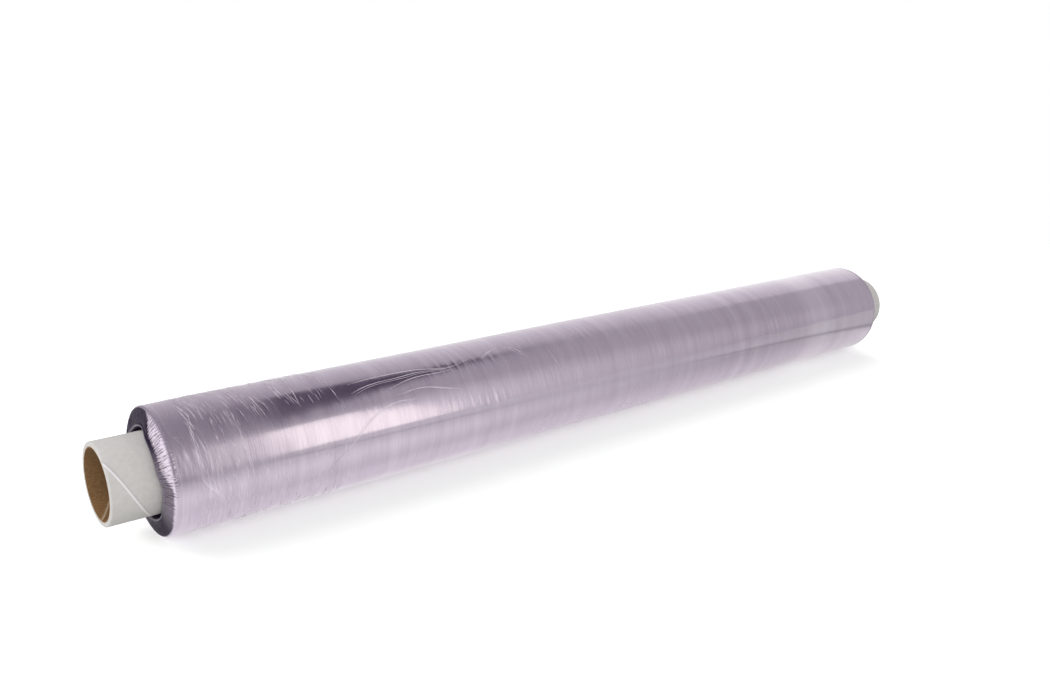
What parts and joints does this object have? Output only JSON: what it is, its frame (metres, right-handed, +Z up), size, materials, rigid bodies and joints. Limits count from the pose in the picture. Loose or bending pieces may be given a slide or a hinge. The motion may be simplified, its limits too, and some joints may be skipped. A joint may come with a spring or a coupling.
{
  "type": "roll of cling film",
  "caption": "Catering-width roll of violet-tinted cling film wound on a spiral cardboard core whose ends stand out of the film, lying on its side.",
  "frame": {"origin": "middle of the film's flat spot on the table, under the middle of the roll", "axes": "+X along the roll's axis from the near end to the far end, +Y to the back, +Z up"},
  "size_m": [0.49, 0.0524, 0.0522],
  "materials": {
    "core_board": "matte",
    "core_kraft": "matte",
    "film": "glossy, lightly wrinkled"
  },
  "bodies": {
    "root": {"core_tube": "core_board", "core_liner": "core_kraft", "film_roll": "film"}
  },
  "joints": []
}
